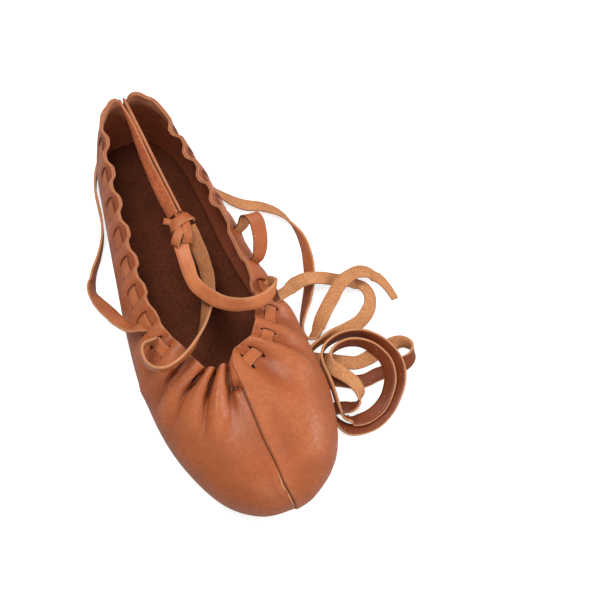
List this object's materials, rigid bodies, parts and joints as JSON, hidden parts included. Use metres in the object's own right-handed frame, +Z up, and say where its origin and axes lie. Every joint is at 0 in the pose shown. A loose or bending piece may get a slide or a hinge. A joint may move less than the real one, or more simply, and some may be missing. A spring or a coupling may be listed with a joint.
{
  "type": "dance shoe",
  "caption": "Soft leather folk-dance moccasin for the right foot, gathered at the collar by a woven thong with long ties, on a thin rubber sole.",
  "frame": {"origin": "On the floor plane under the middle of the shoe's box, ties left out; the sole stands on z = 0.", "axes": "+Y runs from the toe to the heel, +X to the medial (big toe) side, +Z up; the toe points along -Y."},
  "size_m": [0.1776, 0.2702, 0.0698],
  "materials": {
    "sole_rubber": "matte",
    "insole_suede": "napped",
    "upper_leather": "satin",
    "thong_leather": "satin"
  },
  "bodies": {
    "root": {"outsole": "sole_rubber", "insole": "insole_suede", "upper": "upper_leather", "collar_lace": "thong_leather", "heel_strap_lateral": "thong_leather", "heel_strap_medial": "thong_leather", "knot": "thong_leather", "loop_medial": "thong_leather", "loop_lateral": "thong_leather", "tie_lateral": "thong_leather", "tie_medial": "thong_leather"}
  },
  "joints": []
}
